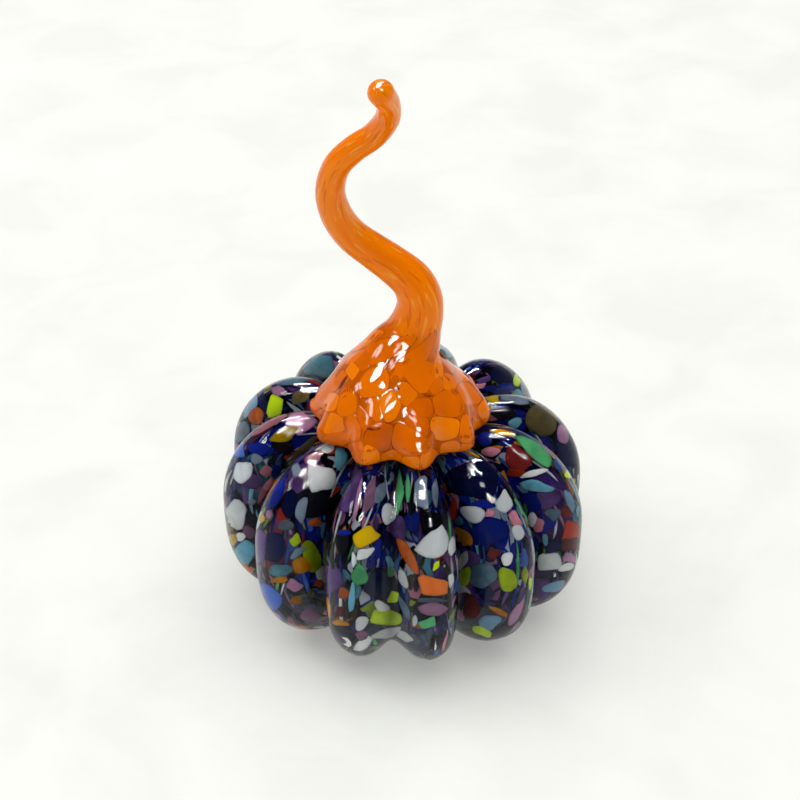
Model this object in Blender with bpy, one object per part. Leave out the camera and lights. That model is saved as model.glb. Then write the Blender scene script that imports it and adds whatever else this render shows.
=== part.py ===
# A small hand-made glass pumpkin: a solid ribbed body with a stem of coloured glass fused on top.
# Metres, +Z up. The origin is the middle of the flat spot that the body stands on, and -Y is the front.

from collections import namedtuple

import bmesh
import bpy
import numpy as np

# Body
BODY_RADIUS = 0.038
BODY_HALF_HEIGHT = 0.0267
BASE_CUT = 0.0005
TOP_ROUNDNESS = 2.17
BOTTOM_ROUNDNESS = 3.2
DIMPLE_DEPTH = 0.014
DIMPLE_RADIUS = 0.016

# Grooves between the ribs, full depth at the waist and gone near the axis
GROOVE_DEPTH = 0.009
GROOVE_DROP_TOP = 0.005
GROOVE_DROP_BOTTOM = 0.0045
GROOVE_START = 0.20
GROOVE_FULL = 0.65

# Each rib has its crest's angle and the angle of the groove after it, in degrees from the front
# towards +X, its reach as a share of the body's radius, and that groove's depth share and rounding.
Rib = namedtuple("Rib", "crest groove reach depth rounding", defaults=(1.0, 0.3))
RIBS = (
    Rib(-16.0, -4.5, 0.995, 0.55, 0.6),
    Rib(9.5, 23.0, 1.005),
    Rib(40.5, 52.0, 1.01),
    Rib(67.5, 83.5, 1.035),
    Rib(96.0, 117.5, 0.995),
    Rib(135.0, 152.0, 0.99),
    Rib(167.5, 179.5, 0.99),
    Rib(191.5, 204.0, 1.0),
    Rib(216.0, 230.0, 1.015),
    Rib(247.0, 262.5, 1.025),
    Rib(277.5, 295.0, 0.995),
    Rib(311.5, 327.5, 0.985),
)
COLUMNS_PER_RIB = 8
BODY_ROWS = 26
PROFILE_SAMPLES = 241

# Stem: its middle line from the cap's rim to the curled tip, as x, y, z and radius
STEM_LINE = (
    (-0.0006, -0.0030, 0.0461, 0.01730),
    (-0.0007, -0.0025, 0.0508, 0.01590),
    (-0.0005, -0.0017, 0.0557, 0.01280),
    (0.0004, -0.0006, 0.0609, 0.00830),
    (0.0021, 0.0003, 0.0652, 0.00570),
    (0.0032, 0.0008, 0.0693, 0.00490),
    (0.0032, 0.0011, 0.0728, 0.00455),
    (0.0016, 0.0018, 0.0762, 0.00420),
    (-0.0019, 0.0026, 0.0792, 0.00385),
    (-0.0059, 0.0030, 0.0822, 0.00360),
    (-0.0101, 0.0028, 0.0860, 0.00335),
    (-0.0129, 0.0020, 0.0911, 0.00315),
    (-0.0139, 0.0006, 0.0972, 0.00290),
    (-0.0125, -0.0008, 0.1031, 0.00270),
    (-0.0092, -0.0016, 0.1072, 0.00260),
    (-0.0055, -0.0024, 0.1104, 0.00250),
    (-0.0030, -0.0042, 0.1148, 0.00240),
    (-0.0028, -0.0066, 0.1191, 0.00230),
    (-0.0040, -0.0095, 0.1228, 0.00250),
)
STEM_STEPS = 2
TIP_ROWS = 4

# Cap: the fluted skirt that the stem starts from. Its flutes are counted from the front towards +X,
# their depth is a share of the radius, and they turn with the stem and fade as it is drawn up.
CAP_FLUTE_LENGTHS = (1.7, 1.25, 1.0, 0.9, 1.1, 0.95, 1.05, 1.0, 1.25, 1.5)
CAP_FLUTES = len(CAP_FLUTE_LENGTHS)
CAP_FLUTE_ANGLE = 12.6
CAP_FLUTE_DEPTH = 0.13
CAP_FLUTE_HEIGHT = 0.020
CAP_FLUTE_TURN = 60.0
CAP_FLUTE_SHARPNESS = 2.0
CAP_FLUTE_FADE = 3.0
CAP_EDGE = 0.0017
CAP_EDGE_TURNS = (-60.0, -30.0, 0.0)
CAP_UNDERSIDE_ROWS = 7
COLUMNS_PER_FLUTE = 6
STEM_COLUMNS = CAP_FLUTES * COLUMNS_PER_FLUTE
STEM_ANGLES = np.radians(CAP_FLUTE_ANGLE + 360.0 * np.arange(STEM_COLUMNS) / STEM_COLUMNS)

# The stem is fused to the crests of the ribs; this is the gap between the two solids
FUSE_GAP = 0.0003

BODY_COLOUR = (0.08, 0.11, 0.20)
BODY_ROUGHNESS = 0.05
STEM_COLOUR = (0.90, 0.36, 0.02)
STEM_ROUGHNESS = 0.12
SHARP_ANGLE = 55.0


def smooth_step(value, low, high):
    share = np.clip((value - low) / (high - low), 0.0, 1.0)
    return share * share * (3.0 - 2.0 * share)


def superellipse(slope, exponent):
    # Radius and height shares along a quarter, from the pole at slope 90 degrees to the waist at 0
    return np.abs(np.cos(slope)) ** (2.0 / exponent), np.abs(np.sin(slope)) ** (2.0 / exponent)


def rib_section(across, rounding):
    # Height share across half a rib, 1 on the crest and 0 in the groove, whose floor is rounded
    inward = 1.0 - abs(across)
    inward = inward ** 4 / (inward ** 3 + rounding ** 3)
    return np.sqrt(inward * (2.0 - inward))


def profile(reach, groove_share, dip):
    # One line from the top pole over the waist to the bottom pole, as radii and heights. The dip runs
    # from 0 on a rib's crest to 1 on the floor of the groove beside it.
    slope = np.linspace(np.pi / 2, -np.pi / 2, PROFILE_SAMPLES)
    top = slope > 0
    radius_share, height_share = superellipse(slope, np.where(top, TOP_ROUNDNESS, BOTTOM_ROUNDNESS))
    side = np.sign(np.sin(slope))
    dip = dip * smooth_step(radius_share, GROOVE_START, GROOVE_FULL)
    crest_radius = BODY_RADIUS * reach * radius_share
    groove_radius = (BODY_RADIUS - GROOVE_DEPTH * groove_share) * radius_share
    radius = crest_radius + (groove_radius - crest_radius) * dip
    drop = np.where(top, GROOVE_DROP_TOP, GROOVE_DROP_BOTTOM) * groove_share * dip
    height = side * height_share * (BODY_HALF_HEIGHT - drop) + BODY_HALF_HEIGHT - BASE_CUT
    dimple = DIMPLE_DEPTH * np.exp(-(radius / DIMPLE_RADIUS) ** 2)
    return radius, height - np.where(top, dimple, 0.0)


def cut_at_floor(radius, height):
    # The flat spot: the line ends where it first reaches the floor
    last = int(np.argmax(height < 0.0)) if (height < 0.0).any() else len(height) - 1
    share = height[last - 1] / (height[last - 1] - height[last])
    edge = radius[last - 1] + share * (radius[last] - radius[last - 1])
    return np.append(radius[:last], edge), np.append(height[:last], 0.0)


def even_rows(radius, height, count):
    length = np.append(0.0, np.cumsum(np.hypot(np.diff(radius), np.diff(height))))
    place = np.linspace(0.0, length[-1], count)
    return np.interp(place, length, radius), np.interp(place, length, height)


def body_columns():
    # Every meridian of the body: its angle from the front and its rows of radius and height
    for number, rib in enumerate(RIBS):
        before = RIBS[number - 1]
        start = before.groove - (360.0 if number == 0 else 0.0)
        for step in range(COLUMNS_PER_RIB):
            across = 2.0 * step / COLUMNS_PER_RIB - 1.0
            groove = before if across < 0 else rib
            half_width = rib.groove - rib.crest if across > 0 else rib.crest - start
            dip = 1.0 - rib_section(across, groove.rounding)
            radius, height = cut_at_floor(*profile(rib.reach, groove.depth, dip))
            yield np.radians(rib.crest + across * half_width), even_rows(radius, height, BODY_ROWS)


def crown_height(distance):
    # Height of the farthest rib's crest at a distance from the axis, above the waist
    radius, height = profile(max(rib.reach for rib in RIBS), 0.0, 0.0)
    upper = height > BODY_HALF_HEIGHT
    return np.interp(distance, radius[upper], height[upper])


def add_ring(mesh, points):
    return [mesh.verts.new(point) for point in points]


def bridge(mesh, upper, lower):
    count = len(upper)
    for index in range(count):
        after = (index + 1) % count
        mesh.faces.new((upper[index], lower[index], lower[after], upper[after]))


def close_ring(mesh, ring, middle, facing_up):
    count = len(ring)
    for index in range(count):
        pair = (ring[index], ring[(index + 1) % count])
        mesh.faces.new((middle, *pair) if facing_up else (middle, *reversed(pair)))


def finish_object(name, mesh, colour, roughness):
    bmesh.ops.triangulate(mesh, faces=mesh.faces)
    data = bpy.data.meshes.new(name)
    mesh.to_mesh(data)
    mesh.free()
    data.shade_smooth()
    data.set_sharp_from_angle(angle=np.radians(SHARP_ANGLE))
    material = bpy.data.materials.new(name + "_glass")
    material.use_nodes = True
    shader = material.node_tree.nodes["Principled BSDF"]
    shader.inputs["Base Color"].default_value = (*colour, 1.0)
    shader.inputs["Roughness"].default_value = roughness
    shader.inputs["Metallic"].default_value = 0.0
    data.materials.append(material)
    bpy.context.scene.collection.objects.link(bpy.data.objects.new(name, data))


def make_body():
    mesh = bmesh.new()
    columns = list(body_columns())
    rings = []
    for row in range(1, BODY_ROWS):
        points = [
            (radius[row] * np.sin(angle), -radius[row] * np.cos(angle), height[row])
            for angle, (radius, height) in columns
        ]
        rings.append(add_ring(mesh, points))
    pole_height = columns[0][1][1][0]
    close_ring(mesh, rings[0], mesh.verts.new((0.0, 0.0, pole_height)), facing_up=True)
    for upper, lower in zip(rings, rings[1:]):
        bridge(mesh, upper, lower)
    close_ring(mesh, rings[-1], mesh.verts.new((0.0, 0.0, 0.0)), facing_up=False)
    finish_object("body", mesh, BODY_COLOUR, BODY_ROUGHNESS)


def smooth_line(points, steps):
    # A Catmull-Rom curve through the points, with its ends reflected
    knots = np.array(points)
    knots = np.vstack([2 * knots[0] - knots[1], knots, 2 * knots[-1] - knots[-2]])
    line = []
    for index in range(1, len(knots) - 2):
        before, start, end, after = knots[index - 1:index + 3]
        for step in range(steps):
            t = step / steps
            line.append(0.5 * (
                2 * start + (end - before) * t
                + (2 * before - 5 * start + 4 * end - after) * t ** 2
                + (3 * start - before - 3 * end + after) * t ** 3
            ))
    line.append(knots[-2])
    return np.array(line)


def fluted(radius, relief):
    # A ring's radii, with its flutes standing out and the notches between them
    swell = np.abs(np.cos(0.5 * CAP_FLUTES * (STEM_ANGLES - STEM_ANGLES[0]))) ** CAP_FLUTE_SHARPNESS
    lengths = np.roll(np.repeat(CAP_FLUTE_LENGTHS, COLUMNS_PER_FLUTE), -COLUMNS_PER_FLUTE // 2)
    return radius * (1.0 + relief * (swell * lengths - 0.5))


def ring_around(centre, across, behind, angles, reach):
    # Points round a centre, counted from the front, in the plane of the two directions
    return centre + np.outer(reach * np.sin(angles), across) - np.outer(reach * np.cos(angles), behind)


def cap_edge_rings():
    # The underside follows the ribs' crests, then turns up round the rim
    centre = np.array([*STEM_LINE[0][:2], 0.0])
    half = CAP_EDGE / 2
    rim = fluted(STEM_LINE[0][3], CAP_FLUTE_DEPTH)
    rows = [(rim - half) * row / CAP_UNDERSIDE_ROWS for row in range(1, CAP_UNDERSIDE_ROWS + 1)]
    turns = np.radians(CAP_EDGE_TURNS)
    reaches = rows + [rim - half * (1.0 - np.cos(turn)) for turn in turns]
    rises = [0.0] * len(rows) + [half * (1.0 + np.sin(turn)) for turn in turns]
    for reach, rise in zip(reaches, rises):
        ring = ring_around(centre, np.array([1.0, 0.0, 0.0]), np.array([0.0, 1.0, 0.0]), STEM_ANGLES, reach)
        ring[:, 2] = crown_height(np.hypot(ring[:, 0], ring[:, 1])) + FUSE_GAP + rise
        yield ring


def stem_rings(rim_heights):
    # Rings square to the middle line, carried along it without twisting, and closed by a round tip
    line = smooth_line(STEM_LINE, STEM_STEPS)
    centres = line[:, :3]
    across = np.array([1.0, 0.0, 0.0])
    for index, (centre, radius) in enumerate(zip(centres, line[:, 3])):
        ahead = centres[min(index + 1, len(centres) - 1)] - centres[index - 1]
        if index == 0:
            ahead = np.array([0.0, 0.0, 1.0])
        ahead /= np.linalg.norm(ahead)
        across = across - ahead * across.dot(ahead)
        across /= np.linalg.norm(across)
        behind = np.cross(ahead, across)
        drape = max(0.0, 1.0 - (centre[2] - centres[0][2]) / CAP_FLUTE_HEIGHT)
        angles = STEM_ANGLES + np.radians(CAP_FLUTE_TURN) * (1.0 - drape) ** 2
        reach = fluted(radius, CAP_FLUTE_DEPTH * drape ** CAP_FLUTE_FADE)
        ring = ring_around(centre, across, behind, angles, reach)
        ring[:, 2] += (rim_heights + CAP_EDGE / 2 - centres[0][2]) * drape ** 2
        yield ring
    for row in range(1, TIP_ROWS):
        lean = 0.5 * np.pi * row / TIP_ROWS
        middle = centre + ahead * (radius * np.sin(lean))
        yield ring_around(middle, across, behind, angles, np.full(len(angles), radius * np.cos(lean)))
    yield [centre + ahead * radius]


def make_stem():
    mesh = bmesh.new()
    edge = list(cap_edge_rings())
    rings = [add_ring(mesh, points) for points in (*edge, *stem_rings(edge[-1][:, 2]))]
    tip = rings.pop()[0]
    x, y = STEM_LINE[0][:2]
    seat = mesh.verts.new((x, y, crown_height(np.hypot(x, y)) + FUSE_GAP))
    close_ring(mesh, rings[0], seat, facing_up=False)
    for lower, upper in zip(rings, rings[1:]):
        bridge(mesh, upper, lower)
    close_ring(mesh, rings[-1], tip, facing_up=True)
    finish_object("stem", mesh, STEM_COLOUR, STEM_ROUGHNESS)


def main():
    for item in list(bpy.data.objects):
        bpy.data.objects.remove(item)
    make_body()
    make_stem()


main()
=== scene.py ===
import math

import bmesh
import bpy
import numpy as np
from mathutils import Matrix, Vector
from mathutils.bvhtree import BVHTree


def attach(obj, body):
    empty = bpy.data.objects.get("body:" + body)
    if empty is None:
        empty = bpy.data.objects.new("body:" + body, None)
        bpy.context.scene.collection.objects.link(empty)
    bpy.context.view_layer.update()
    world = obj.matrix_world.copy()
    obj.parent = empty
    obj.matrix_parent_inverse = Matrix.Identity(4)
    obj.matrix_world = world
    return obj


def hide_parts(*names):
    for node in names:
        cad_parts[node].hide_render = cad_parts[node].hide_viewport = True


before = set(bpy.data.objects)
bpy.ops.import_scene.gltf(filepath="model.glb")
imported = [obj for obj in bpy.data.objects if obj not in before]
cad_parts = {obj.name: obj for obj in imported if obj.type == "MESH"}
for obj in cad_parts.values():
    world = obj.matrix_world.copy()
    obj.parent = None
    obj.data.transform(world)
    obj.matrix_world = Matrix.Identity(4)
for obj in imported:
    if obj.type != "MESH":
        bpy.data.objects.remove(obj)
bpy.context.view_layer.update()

# A small hand-made glass pumpkin, seen from a little above its front
mm = 0.001
scene = bpy.context.scene


# Camera: the photograph's view, as a point in front of the ornament and above the table
view = {
    "target": Vector((-0.6, 0.0, 48.39)) * mm,
    "distance": 411.71 * mm,
    "elevation": 35.56,
    "lens": 90.62,
    "sensor": 36.0,
    "picture": 800,
    "pixel": 0.195 * mm,
    "nearest": 10.0 * mm,
}


def makeCamera():
    tilt = math.radians(view["elevation"])
    camera = bpy.data.objects.new("camera", bpy.data.cameras.new("camera"))
    camera.data.lens = view["lens"]
    camera.data.sensor_width = view["sensor"]
    camera.data.clip_start = view["nearest"]
    back = Vector((0.0, -math.cos(tilt), math.sin(tilt)))
    camera.location = view["target"] + back * view["distance"]
    camera.rotation_euler = (math.pi / 2 - tilt, 0.0, 0.0)
    scene.collection.objects.link(camera)
    scene.camera = camera
    return camera


camera = makeCamera()
eye = np.array(camera.location)
print("camera set")


def sightLine(x, y):
    # Direction from the camera through a place in the photograph, in its pixels
    half = view["picture"] / 2
    reach = view["sensor"] / view["lens"] / view["picture"]
    local = Vector(((x - half) * reach, (half - y) * reach, -1.0))
    return (camera.rotation_euler.to_matrix() @ local).normalized()


# Shader maths
class Wire:  # one node socket, so that sums of sockets and numbers read as plain arithmetic
    def __init__(self, tree, socket=None):
        self.tree = tree
        self.socket = socket

    def add(self, kind, settings=None, values=None, output=0):
        node = self.tree.nodes.new("ShaderNode" + kind)
        for name, setting in (settings or {}).items():
            if name == "stops":
                fillRamp(node.color_ramp, setting)
            elif name == "easing":
                node.color_ramp.interpolation = setting
            else:
                setattr(node, name, setting)
        for name, value in (values or {}).items():
            if isinstance(value, Wire):
                self.tree.links.new(value.socket, node.inputs[name])
            else:
                node.inputs[name].default_value = value
        return Wire(self.tree, node.outputs[output])

    def maths(self, operation, first, second=0.0):
        return self.add("Math", {"operation": operation}, {0: first, 1: second})

    def __add__(self, other):
        return self.maths("ADD", self, other)

    __radd__ = __add__

    def __sub__(self, other):
        return self.maths("SUBTRACT", self, other)

    def __rsub__(self, other):
        return self.maths("SUBTRACT", other, self)

    def __mul__(self, other):
        return self.maths("MULTIPLY", self, other)

    __rmul__ = __mul__

    def __truediv__(self, other):
        return self.maths("DIVIDE", self, other)

    def mixed(self, share, first, second):
        # Colours blended by a share, whose sockets are 6 and 7 on the Mix node
        return self.add("Mix", {"data_type": "RGBA"}, {0: share, 6: first, 7: second}, 2)

    def attribute(self, name):
        return self.add("Attribute", {"attribute_name": name}, output="Fac")

    def place(self):
        # Where a point is, measured from the piece's own origin
        return self.add("TexCoord", output="Object")

    def noise(self, where, scale, detail=2.0, distortion=0.0):
        values = {"Vector": where, "Scale": scale, "Detail": detail, "Distortion": distortion}
        return self.add("TexNoise", None, values)

    def ramp(self, share, stops, easing="LINEAR"):
        return self.add("ValToRGB", {"stops": stops, "easing": easing}, {"Fac": share})

    def cells(self, where, scale, stops):
        # Angular patches, each of one colour of the stops, and how near each point is to an edge
        values = {"Vector": where, "Scale": scale}
        number = self.add("SeparateXYZ", None, {"Vector": self.add("TexVoronoi", None, values, "Color")})
        edge = self.add("TexVoronoi", {"feature": "DISTANCE_TO_EDGE"}, values)
        return self.ramp(number, stops, "CONSTANT"), edge

    def between(self, value, low, high):
        # 0 below low and 1 above high, eased in between
        values = {"Value": value, "From Min": low, "From Max": high}
        return self.add("MapRange", {"interpolation_type": "SMOOTHSTEP"}, values)


def fillRamp(ramp, stops):
    while len(ramp.elements) < len(stops):
        ramp.elements.new(1.0)
    for element, (place, colour) in zip(ramp.elements, stops):
        element.position = place
        element.color = paint(colour)


def paint(colour):
    # A screen colour of three numbers from 0 to 255, as the linear one that a shader takes
    def linear(value):
        share = value / 255
        return share / 12.92 if share <= 0.04045 else ((share + 0.055) / 1.055) ** 2.4
    return (*(linear(value) for value in colour), 1.0)


def grey(level):
    return (level, level, level, 1.0)


def newMaterial(name, **fixed):
    # A Principled material; the fixed values go straight onto its shader
    material = bpy.data.materials.new(name)
    material.use_nodes = True
    shader = material.node_tree.nodes["Principled BSDF"]
    for socket, value in fixed.items():
        shader.inputs[socket.replace("_", " ")].default_value = value
    return material, shader, Wire(material.node_tree)


def connect(wire, shader, **links):
    for socket, source in links.items():
        wire.tree.links.new(source.socket, shader.inputs[socket.replace("_", " ")])


# Body: the ribbed form, as the part's source has it, on a finer grid
body = {
    "radius": 38.0 * mm,
    "halfHeight": 26.7 * mm,
    "baseCut": 0.5 * mm,
    "topRoundness": 2.17,
    "bottomRoundness": 3.2,
    "dimpleDepth": 14.0 * mm,
    "dimpleRadius": 16.0 * mm,
    "grooveDepth": 9.0 * mm,
    "grooveDropTop": 5.0 * mm,
    "grooveDropBottom": 4.5 * mm,
    "grooveStart": 0.20,
    "grooveFull": 0.65,
    # Crest angle, angle of the groove after it, reach, that groove's depth share and its rounding
    "ribs": (
        (-16.0, -4.5, 0.995, 0.55, 0.6),
        (9.5, 23.0, 1.005, 1.0, 0.3),
        (40.5, 52.0, 1.01, 1.0, 0.3),
        (67.5, 83.5, 1.035, 1.0, 0.3),
        (96.0, 117.5, 0.995, 1.0, 0.3),
        (135.0, 152.0, 0.99, 1.0, 0.3),
        (167.5, 179.5, 0.99, 1.0, 0.3),
        (191.5, 204.0, 1.0, 1.0, 0.3),
        (216.0, 230.0, 1.015, 1.0, 0.3),
        (247.0, 262.5, 1.025, 1.0, 0.3),
        (277.5, 295.0, 0.995, 1.0, 0.3),
        (311.5, 327.5, 0.985, 1.0, 0.3),
    ),
    # Painted shade in the grooves: between two heights it comes to its full strength
    "grooveShadeFade": (8.0 * mm, 18.0 * mm),
    "footShade": 0.35,
    "shallowShade": 0.5,
    "deepShade": 0.6,
    "grooveEdge": (0.58, 0.95),
    "columnsPerRib": 40,
    "rows": 150,
    "profileSamples": 721,
}


def smoothStep(value, low, high):
    share = np.clip((value - low) / (high - low), 0.0, 1.0)
    return share * share * (3.0 - 2.0 * share)


def ribSection(across, rounding):
    inward = 1.0 - abs(across)
    inward = inward ** 4 / (inward ** 3 + rounding ** 3)
    return math.sqrt(inward * (2.0 - inward))


def meridian(reach, grooveShare, dip):
    # One line from the top pole over the waist to the bottom pole, as radii and heights
    slope = np.linspace(np.pi / 2, -np.pi / 2, body["profileSamples"])
    top = slope > 0
    power = 2.0 / np.where(top, body["topRoundness"], body["bottomRoundness"])
    radiusShare = np.abs(np.cos(slope)) ** power
    heightShare = np.sign(np.sin(slope)) * np.abs(np.sin(slope)) ** power
    dip = dip * smoothStep(radiusShare, body["grooveStart"], body["grooveFull"])
    crest = body["radius"] * reach * radiusShare
    groove = (body["radius"] - body["grooveDepth"] * grooveShare) * radiusShare
    radius = crest + (groove - crest) * dip
    drop = np.where(top, body["grooveDropTop"], body["grooveDropBottom"]) * grooveShare * dip
    height = heightShare * (body["halfHeight"] - drop) + body["halfHeight"] - body["baseCut"]
    dimple = body["dimpleDepth"] * np.exp(-(radius / body["dimpleRadius"]) ** 2)
    return radius, height - np.where(top, dimple, 0.0)


def evenRows(radius, height, count):
    # The line cut where it first reaches the table, in rows of even length
    last = int(np.argmax(height < 0.0))
    share = height[last - 1] / (height[last - 1] - height[last])
    edge = radius[last - 1] + share * (radius[last] - radius[last - 1])
    radius = np.append(radius[:last], edge)
    height = np.append(height[:last], 0.0)
    length = np.append(0.0, np.cumsum(np.hypot(np.diff(radius), np.diff(height))))
    place = np.linspace(0.0, length[-1], count)
    return np.interp(place, length, radius), np.interp(place, length, height)


def bodyGrid():
    # Points by column and row, with column 0 at the first rib's groove and row 0 at the top pole
    columns = []
    ribs = body["ribs"]
    for number, (crest, groove, reach, depth, rounding) in enumerate(ribs):
        before = ribs[number - 1]
        start = before[1] - (360.0 if number == 0 else 0.0)
        for step in range(body["columnsPerRib"]):
            across = 2.0 * step / body["columnsPerRib"] - 1.0
            halfWidth = groove - crest if across > 0 else crest - start
            share, roundness = (before[3], before[4]) if across < 0 else (depth, rounding)
            line = meridian(reach, share, 1.0 - ribSection(across, roundness))
            radius, height = evenRows(*line, body["rows"])
            angle = math.radians(crest + across * halfWidth)
            columns.append(np.stack([radius * math.sin(angle), -radius * math.cos(angle), height], 1))
    return np.array(columns)


class Sheet:  # a surface of closed columns and rows of points, which other pieces are laid on
    def __init__(self, points, rowsDown):
        self.points = points
        self.rowsDown = rowsDown  # whether the rows run down the piece or up it
        count, rows = points.shape[:2]
        grid = np.arange(count * rows).reshape(count, rows)
        after = np.roll(grid, -1, 0)
        quads = np.stack([grid[:, :-1], grid[:, 1:], after[:, 1:], after[:, :-1]], -1)
        self.tree = BVHTree.FromPolygons(points.reshape(-1, 3).tolist(), quads.reshape(-1, 4).tolist())
        around = np.roll(points, -1, 0) - np.roll(points, 1, 0)
        along = np.gradient(points, axis=1)
        normals = np.cross(along, around) * (1.0 if rowsDown else -1.0)
        length = np.linalg.norm(normals, axis=2, keepdims=True)
        normals = np.where(length > 1e-14, normals / np.maximum(length, 1e-14), 0.0)
        normals[:, 0] = normals[:, 1].mean(0)
        self.normals = normals / np.linalg.norm(normals, axis=2, keepdims=True)
        self.columnWidth = np.linalg.norm(around, axis=2) / 2
        self.rowWidth = np.linalg.norm(along, axis=2)

    def read(self, values, column, row):
        # Values between the grid's points, at any column and row
        count, rows = values.shape[:2]
        low = np.floor(column).astype(int)
        above = np.clip(np.floor(row).astype(int), 0, rows - 2)
        side, down = column - low, np.clip(row - above, 0.0, 1.0)
        if values.ndim == 3:
            side, down = side[..., None], down[..., None]
        left, right = low % count, (low + 1) % count
        upper = values[left, above] * (1 - side) + values[right, above] * side
        lower = values[left, above + 1] * (1 - side) + values[right, above + 1] * side
        return upper * (1 - down) + lower * down

    def at(self, column, row, depth):
        # Points under the surface; a negative depth stands over it
        normal = self.read(self.normals, column, row)
        normal = normal / np.linalg.norm(normal, axis=-1, keepdims=True)
        return self.read(self.points, column, row) - normal * depth[..., None]

    def seen(self, x, y, depth=0.0, refraction=1.0):
        # What the sight line through a place in the photograph meets, at a depth in the glass and
        # bent as it goes in there: the point, and the surface's normal over it
        sight = np.array(sightLine(x, y))
        point, facing, face, distance = self.tree.ray_cast(Vector(eye), Vector(sight))
        if point is None:
            return None
        column, row = divmod(face, self.points.shape[1] - 1)
        corner = self.points[column, row]
        point = np.array(point)
        shares = []
        for end in (self.points[(column + 1) % len(self.points), row], self.points[column, row + 1]):
            side = end - corner
            shares.append(np.clip((point - corner).dot(side) / max(side.dot(side), 1e-16), 0.0, 1.0))
        normal = self.read(self.normals, np.array(column + shares[0]), np.array(row + shares[1]))
        normal = normal / np.linalg.norm(normal)
        cosine = -sight.dot(normal)
        bend = 1.0 / refraction
        turned = bend * cosine - math.sqrt(1.0 - bend ** 2 * (1.0 - cosine ** 2))
        inside = bend * sight + turned * normal
        return point - inside * depth / inside.dot(normal), normal


def paintedGrooveShade(points):
    # Painted shade: 1 in the grooves between the ribs and 0 on the crests, for points anywhere in the
    # body
    angles = np.degrees(np.arctan2(points[:, 0], -points[:, 1]))
    turns, marks = [body["ribs"][-1][1] - 360.0], [1.0]
    for crest, groove, reach, depth, rounding in body["ribs"]:
        turns += [crest, groove]
        marks += [0.0, min(1.0, body["shallowShade"] + body["deepShade"] * depth)]
    angles = (angles - turns[0]) % 360.0 + turns[0]
    least = body["footShade"]
    lower = least + (1.0 - least) * smoothStep(points[:, 2], *body["grooveShadeFade"])
    return lower * smoothStep(np.interp(angles, turns, marks), *body["grooveEdge"])


bodySheet = Sheet(bodyGrid(), True)
print("body grid", bodySheet.points.shape)


def addPiece(name, vertices, faces, material, floats=None):
    # A mesh from points and faces, smooth shaded, with named numbers for its shader to read
    mesh = bpy.data.meshes.new(name)
    mesh.from_pydata([tuple(point) for point in vertices], [], faces)
    mesh.validate()
    for label, values in (floats or {}).items():
        attribute = mesh.attributes.new(label, "FLOAT", "POINT")
        attribute.data.foreach_set("value", np.asarray(values, np.float32))
    mesh.shade_smooth()
    mesh.materials.append(material)
    piece = bpy.data.objects.new(name, mesh)
    scene.collection.objects.link(piece)
    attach(piece, "root")
    return piece


def closedShell(rings, start, end):
    # Vertices and faces of closed rings, row by row, with a fan of triangles at either end
    rows, columns = rings.shape[:2]
    vertices = np.vstack([rings.reshape(-1, 3), start, end])
    last, top, bottom = (rows - 1) * columns, rows * columns, rows * columns + 1
    faces = []
    for column in range(columns):
        after = (column + 1) % columns
        faces.append((top, column, after))
        faces.append((bottom, last + after, last + column))
        for upper in range(0, last, columns):
            lower = upper + columns
            faces.append((upper + column, lower + column, lower + after, upper + after))
    return vertices, faces


class Heap:  # many small shapes that make one piece, with the numbers that their shader reads
    def __init__(self):
        self.vertices, self.faces, self.tone, self.edge = [], [], [], []

    def add(self, shape, tone, edge):
        vertices, faces = shape
        first = len(self.tone)
        self.vertices.append(vertices)
        self.faces.extend(tuple(first + corner for corner in face) for face in faces)
        self.tone.extend([tone] * len(vertices))
        self.edge.extend(edge)


# Clear skin over the whole body
skin = {
    "tint": [(0.3, (232, 240, 243)), (0.7, (250, 251, 252))],
    "wisps": (60.0, 3.0, 1.2),
    "roughness": 0.0,
    "refraction": 1.5,
    "mirror": 0.16,
    "waveScale": 90.0,
    "waveHeight": 0.06 * mm,
    "waveStrength": 0.5,
    "sharpTurn": 55.0,
}


def skinMaterial():
    material, shader, wire = newMaterial(
        "clear_glass", Roughness=skin["roughness"], IOR=skin["refraction"], Transmission_Weight=1.0,
        Specular_Tint=grey(skin["mirror"]))
    place = wire.place()
    tint = wire.ramp(wire.noise(place, *skin["wisps"]), skin["tint"])
    height = {"Distance": skin["waveHeight"], "Strength": skin["waveStrength"]}
    bump = wire.add("Bump", None, {"Height": wire.noise(place, skin["waveScale"], 1.0), **height})
    connect(wire, shader, Base_Color=tint, Normal=bump)
    return material


def makeSkin():
    rings = bodySheet.points[:, 1:].transpose(1, 0, 2)
    vertices, faces = closedShell(rings, bodySheet.points[0, 0], (0.0, 0.0, 0.0))
    piece = addPiece("body_clear_skin", vertices, faces, skinMaterial())
    piece.data.set_sharp_from_angle(angle=math.radians(skin["sharpTurn"]))
    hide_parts("body")
    return piece


skinPiece = makeSkin()
print("clear skin", len(skinPiece.data.polygons))

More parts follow.
